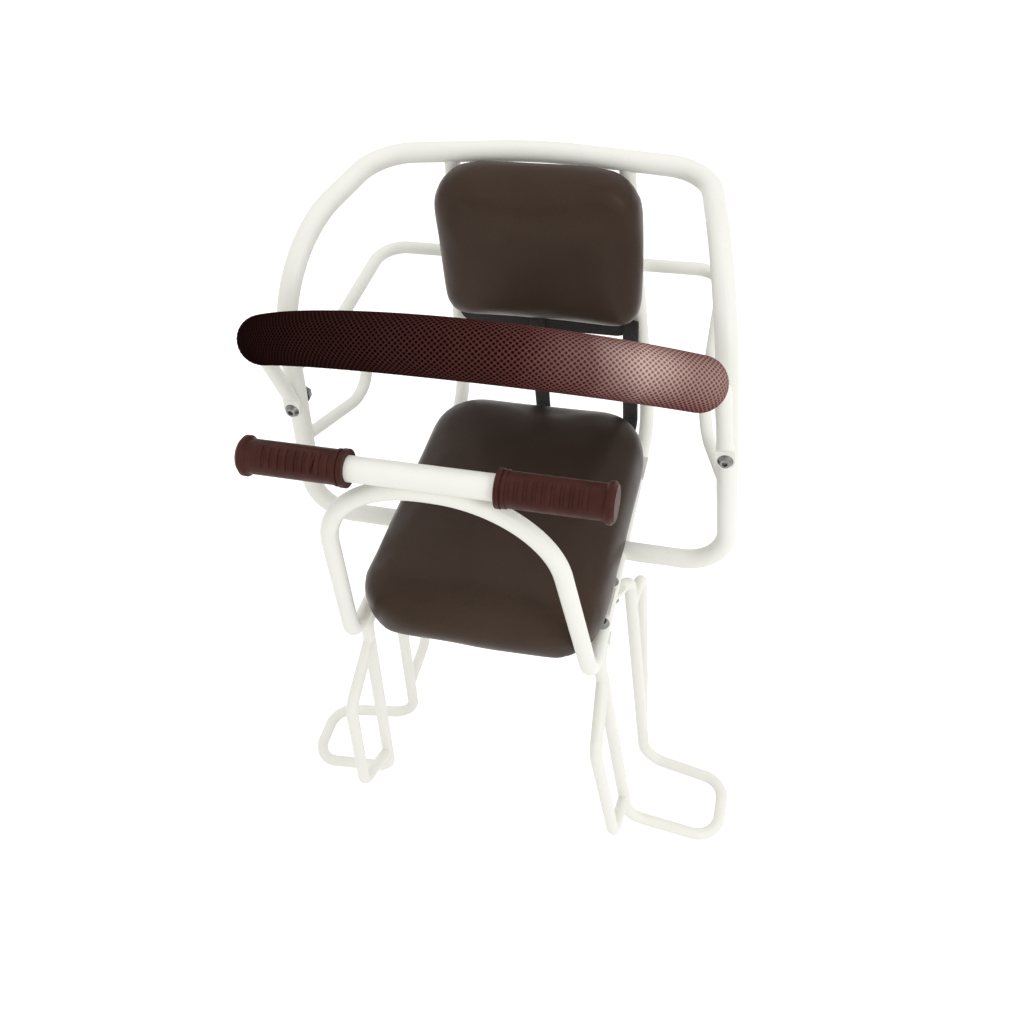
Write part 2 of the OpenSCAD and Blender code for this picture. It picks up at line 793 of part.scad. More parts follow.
// Button-head bolt with a hexagon socket, its head's underside at the origin and its shank along +Z
module bolt(length) {
    socket_d = bolt_d * 0.72;
    difference() {
        union() {
            translate([0, 0, -head_h]) cylinder(h = head_h, r1 = head_r * 0.62, r2 = head_r);
            cylinder(h = length, d = bolt_d);
        }
        translate([0, 0, -head_h - 1]) cylinder(h = head_h * 0.6 + 1, d = socket_d, $fn = 6);
    }
}

// Flat washer
module washer() {
    linear_extrude(washer_t) section(washer_r, bolt_d / 2 + hole_clear);
}

// Hexagon nut
module nut() {
    difference() {
        cylinder(h = nut_h, r = nut_r, $fn = 6);
        translate([0, 0, -1]) cylinder(h = nut_h + 2, r = bolt_d / 2 + slip_clear);
    }
}

// Places children on a bar bolt's axis, at a distance behind the tab's front face
module on_bar_bolt(depth) {
    both() on_post(depth - tab_t) children();
}
bar_grip = tab_t + fence_tube_d;
module bar_bolts() {
    color(zinc) on_bar_bolt(0) bolt(bar_grip + washer_t + nut_h + bolt_spare);
}
module bar_washers() {
    color(zinc) on_bar_bolt(bar_grip) washer();
}
module bar_nuts() {
    color(zinc) on_bar_bolt(bar_grip + washer_t) nut();
}

// Places children on the four leg bolts' axes, at a distance below the top of the rail
module on_leg_bolt(depth) {
    both() for (p = [front_bolt, rear_bolt])
        translate([p.x, p.y, -depth]) rotate([180, 0, 0]) children();
}
leg_grip = frame_tube_d + tab_t;
module leg_bolts() {
    color(zinc) on_leg_bolt(0) bolt(leg_grip + washer_t + nut_h + bolt_spare);
}
module leg_washers() {
    color(zinc) on_leg_bolt(leg_grip) washer();
}
module leg_nuts() {
    color(zinc) on_leg_bolt(leg_grip + washer_t) nut();
}

// Pan-head screw, its head's underside at the origin and its shank along +Z
module screw(length) {
    difference() {
        union() {
            translate([0, 0, -screw_head_h]) cylinder(h = screw_head_h, r = screw_head_r);
            cylinder(h = length, d = screw_d);
        }
        for (turn = [0, 90]) rotate(turn) translate([-screw_d / 2, -0.5, -screw_head_h - 1])
            cube([screw_d, 1, screw_head_h * 0.6 + 1]);
    }
}
module seat_screws() {
    color(zinc) for (side = [-1, 1], y = [-strip_spacing / 2, strip_spacing / 2])
        translate([side * seat_screw_x(), y, 0]) screw(strip_t + screw_bite - hole_clear);
}
module back_screws() {
    color(zinc) both() for (z = back_screw_zs)
        translate([lerp_z(rail_corner, upright_top, z).x, upright_y + frame_r, z])
            rotate([90, 0, 0]) screw(frame_tube_d + screw_bite - hole_clear);
}

rail_upright_left();
rail_upright_right();
front_cross_strip();
rear_cross_strip();
fence_hoop();
upper_guard_rod();
guard_strut_left();
guard_strut_right();
front_arch();
handlebar_tube();
grip_left();
grip_right();
bar_inner_tube();
bar_foam();
bar_sleeve();
leg_rod_left();
leg_rod_right();
front_loop_left();
front_loop_right();
rear_loop_left();
rear_loop_right();
seat_board();
seat_cushion();
back_board();
back_cushion();
strap_middle();
strap_right();
bar_bolts();
bar_washers();
bar_nuts();
leg_bolts();
leg_washers();
leg_nuts();
seat_screws();
back_screws();
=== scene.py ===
"""Rear child bike seat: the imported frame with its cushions, knitted sleeve, webbing and finishes."""

import math

import bpy
import numpy as np
from mathutils import Matrix, Vector


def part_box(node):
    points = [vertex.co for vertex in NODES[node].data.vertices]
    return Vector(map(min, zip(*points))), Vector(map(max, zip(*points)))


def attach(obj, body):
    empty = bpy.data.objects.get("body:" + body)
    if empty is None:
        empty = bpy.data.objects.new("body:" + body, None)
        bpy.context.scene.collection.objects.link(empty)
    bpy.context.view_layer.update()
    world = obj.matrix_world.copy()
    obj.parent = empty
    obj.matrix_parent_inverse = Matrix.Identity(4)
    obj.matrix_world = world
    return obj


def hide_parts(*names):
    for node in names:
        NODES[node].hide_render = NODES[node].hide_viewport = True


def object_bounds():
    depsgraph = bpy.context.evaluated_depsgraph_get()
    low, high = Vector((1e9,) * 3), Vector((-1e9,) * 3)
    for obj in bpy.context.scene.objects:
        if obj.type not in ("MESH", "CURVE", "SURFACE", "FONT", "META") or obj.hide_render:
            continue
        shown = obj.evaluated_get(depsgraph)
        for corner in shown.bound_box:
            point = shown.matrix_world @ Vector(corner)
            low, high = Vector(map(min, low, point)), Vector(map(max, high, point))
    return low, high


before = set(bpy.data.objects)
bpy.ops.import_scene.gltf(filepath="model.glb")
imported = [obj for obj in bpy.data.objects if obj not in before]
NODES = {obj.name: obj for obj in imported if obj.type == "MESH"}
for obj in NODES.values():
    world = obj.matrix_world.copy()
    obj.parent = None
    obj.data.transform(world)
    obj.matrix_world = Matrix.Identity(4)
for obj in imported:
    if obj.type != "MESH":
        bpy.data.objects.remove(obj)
cad_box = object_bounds()
MM = 0.001

# Form of a cushion: how far it stays inside its solid, its least corner, and its steps and rings
INSIDE = 0.2 * MM
MIN_CORNER = 4 * MM
CORNER_STEPS = 24
SIDE_STEPS = 12
LONG_STEP = 12 * MM
SHOULDER_STEPS = 6
CROWN_RINGS = 8

# Cushion as cloth: mesh size, pressure, frames, height that is pinned, and how far a point may move
VOXEL = 4.5 * MM
PRESSURE = 4.0
CLOTH_FRAMES = 20
PINNED_BELOW = 3 * MM
SWELL_CAP = 2 * MM

# Skirt of the seat's cover round its board: drop, where it begins and blends, and how high it pulls
SEAT_SKIRT = 4 * MM
SKIRT_IN = 9 * MM
SKIRT_BLEND = 6 * MM
SKIRT_TOP = 12 * MM

# Padded bar, in mm: the tube's half length and middle and end points, as in the part's source
BAR_HALF = 152.0
BAR_MID = np.array([0.0, -95.0, 241.5])
BAR_END = np.array([152.0, -48.0, 194.5])
PAD_HALF = 144.5
PAD_R = 17.8

# The knit's cells, and the length round the sleeve as a whole number of them
KNIT_PITCH = 3.4
WRAP = 2 * KNIT_PITCH * (2 * math.pi * PAD_R // (2 * KNIT_PITCH))

# Points round and along the sleeve, and the rows and the turn of each rounded end
SLEEVE_AROUND = 168
SLEEVE_ALONG = 430
END_ROWS = 10
END_ANGLE = 86

# Straps: points across, thickness, length held flat at the top, bow between the ends, and fold's radius
STRAP_POINTS = 12
STRAP_T = 2.2 * MM
STRAP_HELD = 22 * MM
STRAP_BOW = 0.8 * MM
STRAP_BEND = 7 * MM

# Spacing of the webbing's ribs, in mm
RIB_ACROSS = 1.3
RIB_ALONG = 1.7

# Camera, from the fit of paired tubes in the photograph
CAMERA_PLACE = Vector((187.5, -534.0, 594.6)) * MM
CAMERA_BACK = Vector((0.2323, -0.6530, 0.7208))
CAMERA_RIGHT = Vector((0.9638, 0.2541, -0.0804))
CAMERA_LENS = 35.648

# Stage
SKY_LIGHT = 0.93
FLOOR_COLOR = (0.85, 0.85, 0.85, 1)
FLOOR_GLOW = 0.5
FLOOR_HALF = 4


class Shader:
    """A node material with its Principled shader and small helpers to wire it."""

    def __init__(self, name, color, roughness, **sockets):
        self.mat = bpy.data.materials.new(name)
        self.mat.use_nodes = True
        self.tree = self.mat.node_tree
        self.bsdf = self.tree.nodes["Principled BSDF"]
        self.bsdf.inputs["Base Color"].default_value = (*color, 1)
        self.bsdf.inputs["Roughness"].default_value = roughness
        for key, value in sockets.items():
            self.bsdf.inputs[key.replace("_", " ")].default_value = value
        self.coords = self.node("ShaderNodeTexCoord")

    def node(self, kind, **props):
        n = self.tree.nodes.new(kind)
        for key, value in props.items():
            setattr(n, key, value)
        return n

    def link(self, a, b):
        self.tree.links.new(a, b)

    def noise(self, scale, detail=4.0, stretch=None, distortion=0.0):
        """Noise over the object's own coordinates, stretched along its axes where asked."""
        n = self.node("ShaderNodeTexNoise")
        n.inputs["Scale"].default_value = scale
        n.inputs["Detail"].default_value = detail
        n.inputs["Roughness"].default_value = 0.55
        n.inputs["Distortion"].default_value = distortion
        if stretch:
            m = self.node("ShaderNodeMapping")
            m.inputs["Scale"].default_value = stretch
            self.link(self.coords.outputs["Object"], m.inputs["Vector"])
            self.link(m.outputs["Vector"], n.inputs["Vector"])
        else:
            self.link(self.coords.outputs["Object"], n.inputs["Vector"])
        return n.outputs["Fac"]

    def voronoi(self, scale, feature="DISTANCE_TO_EDGE"):
        n = self.node("ShaderNodeTexVoronoi", feature=feature)
        n.inputs["Scale"].default_value = scale
        self.link(self.coords.outputs["Object"], n.inputs["Vector"])
        return n.outputs["Distance"]

    def math(self, op, a, b=None, c=None):
        n = self.node("ShaderNodeMath", operation=op)
        for i, v in enumerate((a, b, c)):
            if v is None:
                continue
            if isinstance(v, (int, float)):
                n.inputs[i].default_value = v
            else:
                self.link(v, n.inputs[i])
        return n.outputs[0]

    def ramp(self, fac, stops):
        n = self.node("ShaderNodeValToRGB")
        elements = n.color_ramp.elements
        while len(elements) < len(stops):
            elements.new(0.5)
        for e, (pos, col) in zip(elements, stops):
            e.position = pos
            e.color = (*col, 1)
        self.link(fac, n.inputs["Fac"])
        return n.outputs["Color"]

    def remap(self, fac, low, high, to_low, to_high):
        """Maps the range from low to high to a new one, and stops at its ends."""
        n = self.node("ShaderNodeMapRange")
        for i, v in enumerate((low, high, to_low, to_high)):
            n.inputs[i + 1].default_value = v
        self.link(fac, n.inputs[0])
        return n.outputs[0]

    def mix(self, fac, a, b, blend="MIX"):
        n = self.node("ShaderNodeMix", data_type="RGBA", blend_type=blend)
        for socket, v in ((n.inputs["Factor"], fac), (n.inputs[6], a), (n.inputs[7], b)):
            if isinstance(v, (int, float)):
                socket.default_value = v
            else:
                self.link(v, socket)
        return n.outputs[2]

    def color(self, out):
        self.link(out, self.bsdf.inputs["Base Color"])

    def rough(self, out):
        self.link(out, self.bsdf.inputs["Roughness"])

    def bump(self, out, distance, strength):
        """Adds a bump over the bumps that are there. The distance is in metres."""
        n = self.node("ShaderNodeBump")
        n.inputs["Distance"].default_value = distance
        n.inputs["Strength"].default_value = strength
        old = self.bsdf.inputs["Normal"].links
        if old:
            self.link(old[0].from_socket, n.inputs["Normal"])
        self.link(out, n.inputs["Height"])
        self.link(n.outputs["Normal"], self.bsdf.inputs["Normal"])


def paint_material():
    """Cream powder coat with faint specks and orange peel."""
    s = Shader("powder_coat", (0.85, 0.845, 0.785), 0.4, Specular_IOR_Level=0.4)
    tone = s.noise(9, detail=3)
    base = s.ramp(tone, [(0.3, (0.83, 0.825, 0.76)), (0.7, (0.875, 0.87, 0.805))])
    speck = s.ramp(s.noise(420, detail=2), [(0.27, (0.62, 0.60, 0.53)), (0.33, (1, 1, 1))])
    s.color(s.mix(0.15, base, speck, "MULTIPLY"))
    s.rough(s.remap(s.noise(60), 0.3, 0.7, 0.34, 0.48))
    s.bump(s.noise(900, detail=2), 0.00006, 0.5)
    s.bump(s.noise(140, detail=2), 0.0002, 0.25)
    return s.mat


def leather_material():
    """Dark brown grained leather, with light and shade painted in by place on the cushions."""
    s = Shader("dark_leather", (0.034, 0.022, 0.017), 0.42, Specular_IOR_Level=0.15)
    s.bsdf.inputs["Specular Tint"].default_value = (1.0, 0.72, 0.60, 1)
    tone = s.noise(14, detail=5)
    base = s.ramp(tone, [(0.3, (0.042, 0.0275, 0.0205)), (0.7, (0.056, 0.0370, 0.0280))])
    crease = s.ramp(s.voronoi(900), [(0.0, (0.6, 0.6, 0.6)), (0.12, (1, 1, 1))])
    place = s.node("ShaderNodeSeparateXYZ")
    s.link(s.coords.outputs["Object"], place.inputs[0])
    # Painted light and shade: lighter towards the seat's front and up the backrest, darker towards the
    # seat's rear
    front = s.remap(place.outputs["Y"], 0.10, -0.14, 0.50, 0.97)
    high = s.remap(place.outputs["Z"], 0.06, 0.11, 0.0, 0.45)
    light = s.math("ADD", front, high)
    # The grained colour times the painted light and shade
    s.color(s.mix(1.0, s.mix(0.5, base, crease, "MULTIPLY"), light, "MULTIPLY"))
    s.rough(s.remap(s.noise(45, detail=4), 0.3, 0.7, 0.28, 0.40))
    s.bump(s.voronoi(900), 0.00012, 0.35)
    s.bump(s.noise(60, detail=3), 0.0006, 0.25)
    return s.mat


def rubber_material():
    """Dark red rubber of the grips."""
    s = Shader("grip_rubber", (0.052, 0.015, 0.011), 0.42, Specular_IOR_Level=0.12)
    s.bsdf.inputs["Specular Tint"].default_value = (1.0, 0.6, 0.5, 1)
    tone = s.noise(70, detail=4)
    s.color(s.ramp(tone, [(0.3, (0.041, 0.0135, 0.0108)), (0.7, (0.063, 0.0215, 0.0172))]))
    s.rough(s.remap(s.noise(160), 0.3, 0.7, 0.38, 0.55))
    s.bump(s.noise(700, detail=3), 0.00012, 0.5)
    return s.mat


def zinc_material():
    """Dull zinc plate of the bolts and screws."""
    s = Shader("zinc_plate", (0.42, 0.42, 0.40), 0.38, Metallic=1.0)
    s.color(s.ramp(s.noise(260, detail=4), [(0.3, (0.16, 0.16, 0.15)), (0.7, (0.30, 0.30, 0.285))]))
    s.rough(s.remap(s.noise(420), 0.3, 0.7, 0.28, 0.5))
    s.bump(s.noise(1200, detail=2), 0.00004, 0.5)
    return s.mat


def wood_material(name, dark, light):
    """Board with its grain along Y."""
    s = Shader(name, light, 0.7)
    grain = s.noise(60, detail=6, stretch=(12, 1, 12), distortion=0.4)
    s.color(s.ramp(grain, [(0.3, dark), (0.7, light)]))
    s.rough(s.remap(grain, 0.3, 0.7, 0.6, 0.8))
    s.bump(grain, 0.0003, 0.4)
    return s.mat


def webbing_material(name, low, high):
    """Ribbed webbing: the UV's V runs along the strap in mm, U across it."""
    s = Shader(name, high, 0.75, Sheen_Weight=0.1)
    uv = s.node("ShaderNodeSeparateXYZ")
    s.link(s.coords.outputs["UV"], uv.inputs[0])
    across = s.math("SINE", s.math("MULTIPLY", uv.outputs["X"], 2 * math.pi / RIB_ACROSS))
    along = s.math("SINE", s.math("MULTIPLY", uv.outputs["Y"], 2 * math.pi / RIB_ALONG))
    weave = s.math("MULTIPLY_ADD", s.math("MULTIPLY", across, along), 0.5, 0.5)
    s.color(s.ramp(weave, [(0.1, low), (0.8, high)]))
    s.rough(s.remap(s.noise(300), 0.3, 0.7, 0.65, 0.85))
    s.bump(weave, 0.0003, 0.6)
    return s.mat


def knit_material():
    """Knitted mesh: the UV holds mm along the bar and round it, and the cells sit in diagonal rows.
    Light, shade and a highlight are painted into its colour.
    """
    s = Shader("knitted_mesh", (0.075, 0.026, 0.022), 0.5, Specular_IOR_Level=0.0)
    uv = s.node("ShaderNodeSeparateXYZ")
    s.link(s.coords.outputs["UV"], uv.inputs[0])
    k = math.pi / KNIT_PITCH
    a = s.math("SINE", s.math("MULTIPLY", s.math("ADD", uv.outputs["X"], uv.outputs["Y"]), k))
    b = s.math("SINE", s.math("MULTIPLY", s.math("SUBTRACT", uv.outputs["X"], uv.outputs["Y"]), k))
    hole = s.math("ABSOLUTE", s.math("MULTIPLY", a, b))
    yarn = s.ramp(s.noise(800, detail=3), [(0.3, (0.15, 0.050, 0.046)), (0.7, (0.26, 0.098, 0.088))])
    dark = s.ramp(hole, [(0.30, (1, 1, 1)), (0.62, (0.16, 0.10, 0.10))])
    # Painted light and shade along the bar: dark at one end and lit towards the other, with a painted
    # highlight near the lit end
    along = s.math("MULTIPLY_ADD", uv.outputs["X"], 1 / (2 * PAD_HALF), 0.5)
    painted_light_along = s.math("ADD", along, s.math("MULTIPLY", s.math("SUBTRACT", s.noise(25), 0.5), 0.15))
    painted_light_and_shade = s.ramp(painted_light_along, [(0.0, (0.075, 0.085, 0.085)), (0.35, (0.19, 0.19, 0.19)),
                         (0.62, (0.37, 0.37, 0.37)), (0.76, (0.70, 0.70, 0.70)),
                         (0.90, (0.95, 0.95, 0.95))])
    shaded = s.mix(1.0, s.mix(1.0, yarn, dark, "MULTIPLY"), painted_light_and_shade, "MULTIPLY")
    # Colour of the painted highlight, paler on the yarn than in the holes
    painted_highlight_color = s.ramp(hole, [(0.30, (0.60, 0.43, 0.385)), (0.62, (0.26, 0.16, 0.14))])
    painted_highlight = s.ramp(painted_light_along, [(0.67, (0, 0, 0)), (0.78, (0.16, 0.16, 0.16)), (0.89, (1.0, 1.0, 1.0)),
                           (1.0, (0.45, 0.45, 0.45))])
    # The painted highlight is strongest on the bar's upper side
    turn = s.math("MULTIPLY_ADD", uv.outputs["Y"], 2 * math.pi / WRAP, math.radians(-10))
    painted_highlight_side = s.math("POWER", s.math("MULTIPLY_ADD", s.math("SINE", turn), 0.5, 0.5), 3.5)
    s.color(s.mix(s.math("MULTIPLY", painted_highlight, painted_highlight_side), shaded, painted_highlight_color, "MIX"))
    s.rough(s.remap(s.noise(500), 0.3, 0.7, 0.34, 0.55))
    s.bump(s.math("SUBTRACT", 1.0, hole), 0.0006, 0.5)
    s.bump(s.noise(1500, detail=2), 0.0002, 0.4)
    return s.mat


def foam_material():
    """Black closed cell foam."""
    s = Shader("closed_cell_foam", (0.02, 0.02, 0.02), 0.85)
    s.color(s.ramp(s.noise(900), [(0.3, (0.012, 0.012, 0.012)), (0.7, (0.03, 0.03, 0.03))]))
    s.bump(s.voronoi(1100, "F1"), 0.0002, 0.5)
    return s.mat


def dress(node, material):
    """Gives a CAD node one material."""
    mesh = NODES[node].data
    mesh.materials.clear()
    mesh.materials.append(material)


def new_object(name, verts, faces, material, smooth=True):
    """Mesh object with one material, linked to the scene."""
    mesh = bpy.data.meshes.new(name)
    mesh.from_pydata([tuple(v) for v in verts], [], [tuple(f) for f in faces])
    mesh.update()
    if smooth:
        mesh.shade_smooth()
    mesh.materials.append(material)
    obj = bpy.data.objects.new(name, mesh)
    bpy.context.scene.collection.objects.link(obj)
    return obj


def read_points(obj):
    """The mesh's points as an array of rows."""
    co = np.empty(len(obj.data.vertices) * 3)
    obj.data.vertices.foreach_get("co", co)
    return co.reshape(-1, 3)


def write_points(obj, co):
    obj.data.vertices.foreach_set("co", co.ravel())
    obj.data.update()


def apply_modifiers(obj):
    """Bakes what the modifiers show into the mesh."""
    graph = bpy.context.evaluated_depsgraph_get()
    baked = bpy.data.meshes.new_from_object(obj.evaluated_get(graph))
    old = obj.data
    obj.modifiers.clear()
    obj.data = baked
    bpy.data.meshes.remove(old)


def bridge(steps, count):
    """Quads from each closed ring of points to the next, for rings of one size."""
    quads = []
    for j in range(steps):
        for i in range(count):
            a, b = j * count + i, j * count + (i + 1) % count
            quads.append((a, b, b + count, a + count))
    return quads


def set_uvs(obj, corners):
    """Lays UVs in mm on the mesh, a pair for each corner of each face."""
    layer = obj.data.uv_layers.new(name="UVMap")
    layer.data.foreach_set("uv", np.array(corners, dtype=np.float32).ravel())


def plan_outline(w, l, corner, low_corner, inset):
    """Rounded rectangle drawn in by the inset, with one radius for its high corners, one for its low."""
    high = max(corner - inset, MIN_CORNER)
    low = max(low_corner - inset, MIN_CORNER)
    hw, hl = w / 2 - inset, l / 2 - inset
    arcs = []
    for cx, cy, r, start in ((hw - high, hl - high, high, 0), (high - hw, hl - high, high, 90),
                             (low - hw, low - hl, low, 180), (hw - low, low - hl, low, 270)):
        for i in range(CORNER_STEPS):
            a = math.radians(start + 90 * i / CORNER_STEPS)
            arcs.append((cx + r * math.cos(a), cy + r * math.sin(a)))
    outline = []
    for p, q in zip(arcs, arcs[1:] + arcs[:1]):
        outline.append(p)
        if math.dist(p, q) > LONG_STEP:
            outline += [(p[0] + (q[0] - p[0]) * k / SIDE_STEPS, p[1] + (q[1] - p[1]) * k / SIDE_STEPS)
                        for k in range(1, SIDE_STEPS)]
    return outline


def pillow_form(w, l, t, corner, low_corner, crown):
    """Closed form of a cushion: base at z 0, upright sides, rounded shoulder and crowned top."""
    shoulder = t * 0.45
    levels = [(1.5 * MM, 0), (0.3 * MM, 1.5 * MM), (0, t * 0.25), (0, t - shoulder)]
    for k in range(1, SHOULDER_STEPS + 1):
        a = math.radians(90 * k / SHOULDER_STEPS)
        levels.append((shoulder * (1 - math.cos(a)), t - shoulder + shoulder * math.sin(a)))
    verts = []
    for inset, z in levels:
        outline = plan_outline(w, l, corner, low_corner, inset)
        verts += [(x, y, z) for x, y in outline]
    for k in range(1, CROWN_RINGS):
        f = 1 - k / CROWN_RINGS
        verts += [(x * f, y * f, t + crown * (1 - f * f)) for x, y in outline]
    count = len(outline)
    faces = bridge(len(levels) + CROWN_RINGS - 2, count)
    faces.append(tuple(range(len(verts) - count, len(verts))))
    faces.append(tuple(reversed(range(count))))
    return verts, faces


def smooth_over(obj, name, passes):
    """Evens the mesh out."""
    modifier = obj.modifiers.new(name, "SMOOTH")
    modifier.factor = 0.5
    modifier.iterations = passes
    apply_modifiers(obj)


def swell(obj):
    """Inflates the form as cloth with its base pinned, and caps how far a point moves."""
    scene = bpy.context.scene
    start = read_points(obj)
    pins = obj.vertex_groups.new(name="base")
    pins.add([int(i) for i in np.nonzero(start[:, 2] < PINNED_BELOW)[0]], 1.0, "REPLACE")
    cloth = obj.modifiers.new("cloth", "CLOTH")
    s = cloth.settings
    s.quality = 5
    s.mass = 0.3
    s.tension_stiffness = s.compression_stiffness = 15
    s.shear_stiffness = 5
    s.bending_stiffness = 0.6
    s.use_pressure = True
    s.uniform_pressure_force = PRESSURE
    s.vertex_group_mass = "base"
    s.effector_weights.gravity = 0
    cloth.collision_settings.use_collision = False
    cloth.point_cache.frame_start = 1
    cloth.point_cache.frame_end = CLOTH_FRAMES
    for f in range(1, CLOTH_FRAMES + 1):
        scene.frame_set(f)
    apply_modifiers(obj)
    moved = read_points(obj) - start
    far = np.linalg.norm(moved, axis=1, keepdims=True)
    moved *= np.minimum(1.0, SWELL_CAP / np.maximum(far, 1e-9))
    write_points(obj, start + moved)
    obj.vertex_groups.clear()
    scene.frame_set(1)
    smooth_over(obj, "relax", 10)


def soft_noise(x, y, seed):
    """Smooth repeatable bumps from a few sines, from about -1 to 1."""
    rng = np.random.default_rng(seed)
    out = np.zeros_like(x)
    for _ in range(6):
        kx, ky = rng.uniform(-70, 70, 2)
        out += np.sin(kx * x + ky * y + rng.uniform(0, 6.28))
    return out / 3.5


def shape_cover(co, t, seed):
    """Draws the cover in along its lower edge in slight waves, and lets its top rise and fall."""
    low = np.clip(1 - co[:, 2] / (t * 0.5), 0, 1)
    wave = soft_noise(co[:, 0] * 1.6, co[:, 1] * 1.6, seed)
    length = np.linalg.norm(co[:, :2], axis=1, keepdims=True)
    co[:, :2] -= co[:, :2] / np.maximum(length, 1e-6) * (low * (0.3 + 0.5 * wave) * MM)[:, None]
    top = np.clip((co[:, 2] - t * 0.6) / (t * 0.4), 0, 1)
    co[:, 2] += top * soft_noise(co[:, 0] * 0.5, co[:, 1] * 0.5, seed + 1) * 0.5 * MM
    co[:, 2] = np.maximum(co[:, 2], INSIDE)


def hang_skirt(co, w, l, corner, drop):
    """Draws the cover's rim down round the board. The rim is measured inwards from the plan's outline."""
    cx, cy = w / 2 - corner - np.abs(co[:, 0]), l / 2 - corner - np.abs(co[:, 1])
    rim = np.minimum(w / 2 - np.abs(co[:, 0]), l / 2 - np.abs(co[:, 1]))
    rim = np.where((cx < 0) & (cy < 0), corner - np.hypot(cx, cy), rim)
    near = np.clip((SKIRT_IN - rim) / SKIRT_BLEND, 0, 1)
    near = near * near * (3 - 2 * near)
    co[:, 2] -= drop * near * np.clip(1 - co[:, 2] / SKIRT_TOP, 0, 1)


def cushion(name, node, size, corner, low_corner, crown, place, material, seed, skirt=0.0):
    """Builds, swells and places one cushion that stands for its CAD solid."""
    w, l, t = size
    verts, faces = pillow_form(w - 2 * INSIDE, l - 2 * INSIDE, t - INSIDE, corner, low_corner, crown)
    obj = new_object(name, verts, faces, material)
    remesh = obj.modifiers.new("remesh", "REMESH")
    remesh.mode = "VOXEL"
    remesh.voxel_size = VOXEL
    apply_modifiers(obj)
    swell(obj)
    co = read_points(obj)
    shape_cover(co, t, seed)
    if skirt:
        hang_skirt(co, w, l, corner, skirt)
    write_points(obj, co)
    smooth_over(obj, "even", 3)
    sub = obj.modifiers.new("sub", "SUBSURF")
    sub.levels = sub.render_levels = 1
    apply_modifiers(obj)
    obj.data.shade_smooth()
    obj.data.transform(place)
    obj.data.materials.clear()
    obj.data.materials.append(material)
    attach(obj, "root")
    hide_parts(node)


def seat_and_back(material):
    """Seat cushion on its board, and the backrest's cushion turned upright against its own."""
    lo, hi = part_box("seat_cushion")
    w, l, t = (hi[i] - lo[i] for i in range(3))
    place = Matrix.Translation(((lo[0] + hi[0]) / 2, (lo[1] + hi[1]) / 2, lo[2]))
    cushion("seat_pad", "seat_cushion", (w, l, t), corner=42 * MM, low_corner=40 * MM, crown=3.5 * MM,
            place=place, material=material, seed=3, skirt=SEAT_SKIRT)
    lo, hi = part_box("back_cushion")
    w, t, l = (hi[i] - lo[i] for i in range(3))
    place = (Matrix.Translation(((lo[0] + hi[0]) / 2, hi[1], (lo[2] + hi[2]) / 2))
             @ Matrix.Rotation(math.radians(90), 4, "X"))
    cushion("back_pad", "back_cushion", (w, l, t), corner=34 * MM, low_corner=17 * MM, crown=3 * MM,
            place=place, material=material, seed=11)


def bar_line(x):
    """Centre of the bar's arc and its directions at x, in mm."""
    drop = math.hypot(BAR_MID[1] - BAR_END[1], BAR_MID[2] - BAR_END[2])
    up = np.array([0.0, BAR_MID[1] - BAR_END[1], BAR_MID[2] - BAR_END[2]]) / drop
    r = (BAR_HALF ** 2 + drop ** 2) / (2 * drop)
    a = math.asin(x / r)
    centre = BAR_MID + np.array([x, 0, 0]) - up * r * (1 - math.cos(a))
    tangent = np.array([math.cos(a), 0, 0]) - up * math.sin(a)
    out = np.array([math.sin(a), 0, 0]) + up * math.cos(a)
    return centre, tangent, out, r * a


def sleeve_rows():
    """The sleeve's rings: place on the arc, and in radii the push past it and the ring's own size."""
    end = [(math.sin(a), math.cos(a))
           for a in (math.radians(END_ANGLE * k / END_ROWS) for k in range(1, END_ROWS + 1))]
    rows = [(-PAD_HALF, -push, shrink) for push, shrink in reversed(end)]
    rows += [((2 * i / SLEEVE_ALONG - 1) * PAD_HALF, 0.0, 1.0) for i in range(SLEEVE_ALONG + 1)]
    rows += [(PAD_HALF, push, shrink) for push, shrink in end]
    return rows


def sleeve(material):
    """Knitted sleeve over the foam: a tube along the arc with rounded ends and the knit's relief."""
    verts, uvs = [], []
    rows = sleeve_rows()
    k = math.pi / KNIT_PITCH
    for x, push, shrink in rows:
        centre, tangent, out, s = bar_line(x)
        side = np.cross(tangent, out)
        # Thickest in the middle, and a little thicker at one end than at the other
        radius = PAD_R - 0.65 + 0.85 * math.cos(math.pi / 2 * x / PAD_HALF) + 0.3 * x / PAD_HALF
        base = centre + tangent * push * radius
        u = s + push * radius
        for j in range(SLEEVE_AROUND):
            a = 2 * math.pi * j / SLEEVE_AROUND
            v = a / (2 * math.pi) * WRAP
            # The knit's holes lie deeper than its yarn, and the underside sags in soft lumps
            hole = abs(math.sin((u + v) * k) * math.sin((u - v) * k))
            relief = -0.45 * max(0.0, hole - 0.2)
            ripple = 1 + math.sin(u * 0.41 + 1.3 * math.sin(v * 0.2))
            lump = 0.25 * ripple * max(0.0, -math.sin(a)) ** 2
            r = radius * shrink + relief + lump * shrink
            verts.append((base + (out * math.sin(a) + side * math.cos(a)) * r) * MM)
            uvs.append((u, v))
    faces = bridge(len(rows) - 1, SLEEVE_AROUND)
    # The last quad of each ring goes back to its first points, so its far UVs go on past the wrap
    corners = []
    for quad in faces:
        closes = quad[1] < quad[0]
        for n, point in enumerate(quad):
            u, v = uvs[point]
            corners.append((u, v + (WRAP if closes and n in (1, 2) else 0)))
    obj = new_object("knitted_sleeve", verts, faces, material)
    set_uvs(obj, corners)
    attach(obj, "root")
    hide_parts("bar_sleeve")


